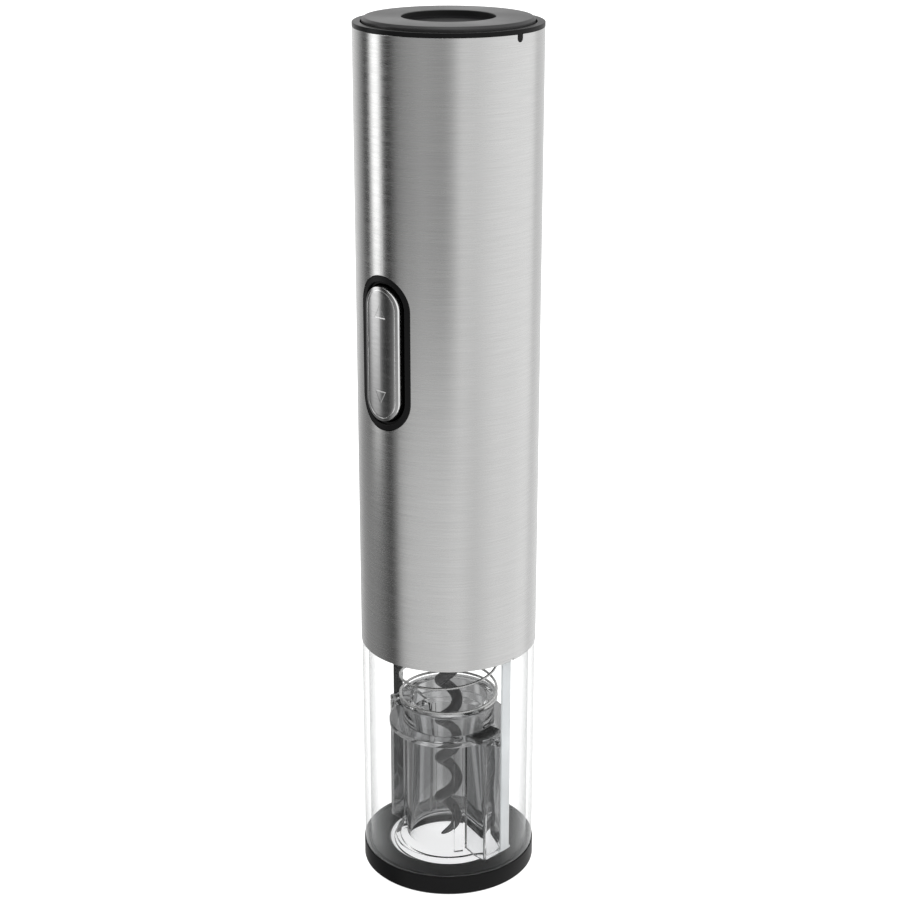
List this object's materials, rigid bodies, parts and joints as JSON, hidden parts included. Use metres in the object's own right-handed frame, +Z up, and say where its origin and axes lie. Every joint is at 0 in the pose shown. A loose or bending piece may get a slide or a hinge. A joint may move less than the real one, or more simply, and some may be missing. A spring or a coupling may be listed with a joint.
{
  "type": "electric wine opener",
  "caption": "Cylindrical electric corkscrew: steel body, rocker switch, clear sleeve over a sprung cork guide and driven worm, twist-off battery cover.",
  "frame": {"origin": "centre of the flat underside of the base ring", "axes": "+Z up the body axis, the rocker switch faces -Y, the guide rails are at -X and +X"},
  "size_m": [0.05, 0.0509, 0.246],
  "materials": {
    "steel": "brushed round the body",
    "bright_steel": "satin",
    "black_plastic": "moulded",
    "cap_plastic": "satin",
    "inner_plastic": "moulded",
    "grey_plastic": "moulded",
    "white_plastic": "moulded",
    "clear_sleeve": "clear",
    "clear_guide": "clear",
    "worm_coating": "smooth dark coating",
    "spring_steel": "drawn wire",
    "nickel": "plated",
    "zinc": "plated",
    "sintered": "sintered",
    "brass": "turned",
    "copper": "wound",
    "magnet": "sintered",
    "circuit_board": "laminate",
    "cell_jacket": "printed film",
    "red_wire": "insulation",
    "black_wire": "insulation"
  },
  "bodies": {
    "housing": {"base_ring": "black_plastic", "battery_1": "cell_jacket", "battery_2": "cell_jacket", "battery_3": "cell_jacket", "battery_4": "cell_jacket", "battery_tray": "inner_plastic", "battery_wire_black": "black_wire", "battery_wire_red": "red_wire", "chassis_front": "inner_plastic", "chassis_rear": "inner_plastic", "chassis_screw_left": "zinc", "chassis_screw_right": "zinc", "clear_sleeve": "clear_sleeve", "gearbox_housing": "sintered", "gearbox_top_plate": "zinc", "guide_rail_left": "black_plastic", "guide_rail_right": "grey_plastic", "motor_can": "zinc", "motor_end_cap": "white_plastic", "motor_magnet_left": "magnet", "motor_magnet_right": "magnet", "motor_screw_left": "zinc", "motor_screw_right": "zinc", "motor_wire_black": "black_wire", "motor_wire_red": "red_wire", "output_bush": "brass", "rocker_pin": "zinc", "steel_shell": "steel", "switch_bezel": "black_plastic", "switch_board": "circuit_board", "tact_switch_down": "inner_plastic", "tact_switch_up": "inner_plastic", "top_collar": "black_plastic", "tray_link_contact": "nickel", "tray_terminal_left": "nickel", "tray_terminal_right": "nickel"},
    "rocker": {"rocker_button": "bright_steel"},
    "stem_up": {"switch_stem_up": "white_plastic"},
    "stem_down": {"switch_stem_down": "white_plastic"},
    "spindle": {"output_carrier": "sintered", "worm_chuck": "zinc", "chuck_pin": "bright_steel", "corkscrew": "worm_coating"},
    "middle_carrier": {"stage_1_carrier": "sintered"},
    "rotor": {"motor_shaft": "bright_steel", "motor_armature": "copper", "sun_gear": "brass"},
    "guide": {"cork_guide": "clear_guide", "return_spring": "spring_steel"},
    "lifting_contacts": {"contact_disc": "inner_plastic", "cover_contact_left": "nickel", "cover_contact_right": "nickel"},
    "cover": {"battery_cover": "cap_plastic", "cover_screw": "zinc"},
    "upper_planet_1": {"stage_1_planet_1": "white_plastic"},
    "upper_planet_2": {"stage_1_planet_2": "white_plastic"},
    "upper_planet_3": {"stage_1_planet_3": "white_plastic"},
    "lower_planet_1": {"stage_2_planet_1": "white_plastic"},
    "lower_planet_2": {"stage_2_planet_2": "white_plastic"},
    "lower_planet_3": {"stage_2_planet_3": "white_plastic"}
  },
  "joints": [
    {"name": "rocker_tilt", "type": "hinge", "parent": "housing", "child": "rocker", "pos_m": [0, -0.0206, 0.1605], "axis": [1, 0, 0], "range_deg": [-3, 3], "stiffness_Nm_per_rad": 0.6},
    {"name": "stem_up_travel", "type": "slide", "parent": "housing", "child": "stem_up", "axis": [0, 1, 0], "range_m": [-0.00065, 0.00065]},
    {"name": "stem_down_travel", "type": "slide", "parent": "housing", "child": "stem_down", "axis": [0, 1, 0], "range_m": [-0.00065, 0.00065]},
    {"name": "worm_spin", "type": "hinge", "parent": "housing", "child": "spindle", "pos_m": [0, 0, 0.11], "axis": [0, 0, 1], "continuous": true},
    {"name": "middle_spin", "type": "hinge", "parent": "housing", "child": "middle_carrier", "pos_m": [0, 0, 0.13], "axis": [0, 0, 1], "continuous": true},
    {"name": "rotor_spin", "type": "hinge", "parent": "housing", "child": "rotor", "pos_m": [0, 0, 0.15], "axis": [0, 0, 1], "continuous": true},
    {"name": "lower_planet_1_spin", "type": "hinge", "parent": "spindle", "child": "lower_planet_1", "pos_m": [0.0066, 0, 0.125], "axis": [0, 0, 1], "continuous": true},
    {"name": "lower_planet_2_spin", "type": "hinge", "parent": "spindle", "child": "lower_planet_2", "pos_m": [-0.0033, 0.00572, 0.125], "axis": [0, 0, 1], "continuous": true},
    {"name": "lower_planet_3_spin", "type": "hinge", "parent": "spindle", "child": "lower_planet_3", "pos_m": [-0.0033, -0.00572, 0.125], "axis": [0, 0, 1], "continuous": true},
    {"name": "upper_planet_1_spin", "type": "hinge", "parent": "middle_carrier", "child": "upper_planet_1", "pos_m": [0.0066, 0, 0.134], "axis": [0, 0, 1], "continuous": true},
    {"name": "upper_planet_2_spin", "type": "hinge", "parent": "middle_carrier", "child": "upper_planet_2", "pos_m": [-0.0033, 0.00572, 0.134], "axis": [0, 0, 1], "continuous": true},
    {"name": "upper_planet_3_spin", "type": "hinge", "parent": "middle_carrier", "child": "upper_planet_3", "pos_m": [-0.0033, -0.00572, 0.134], "axis": [0, 0, 1], "continuous": true},
    {"name": "guide_slide", "type": "slide", "parent": "housing", "child": "guide", "axis": [0, 0, 1], "range_m": [0, 0.045], "stiffness_N_per_m": 25, "springref_m": -0.02, "deforming": ["return_spring"]},
    {"name": "cover_lift", "type": "slide", "parent": "housing", "child": "lifting_contacts", "axis": [0, 0, 1], "range_m": [0, 0.003]},
    {"name": "cover_turn", "type": "hinge", "parent": "lifting_contacts", "child": "cover", "pos_m": [0, 0, 0.24], "axis": [0, 0, 1], "range_deg": [0, 60]}
  ],
  "couplings": [
    {"joint": "stem_up_travel", "follows": "rocker_tilt", "m_per_rad": -0.012},
    {"joint": "stem_down_travel", "follows": "rocker_tilt", "m_per_rad": 0.012},
    {"joint": "middle_spin", "follows": "worm_spin", "ratio": 5.3333},
    {"joint": "rotor_spin", "follows": "worm_spin", "ratio": 28.444},
    {"joint": "lower_planet_1_spin", "follows": "worm_spin", "ratio": -2.6},
    {"joint": "lower_planet_2_spin", "follows": "worm_spin", "ratio": -2.6},
    {"joint": "lower_planet_3_spin", "follows": "worm_spin", "ratio": -2.6},
    {"joint": "upper_planet_1_spin", "follows": "worm_spin", "ratio": -13.867},
    {"joint": "upper_planet_2_spin", "follows": "worm_spin", "ratio": -13.867},
    {"joint": "upper_planet_3_spin", "follows": "worm_spin", "ratio": -13.867},
    {"joint": "cover_lift", "follows": "cover_turn", "m_per_rad": 0.0028648}
  ]
}
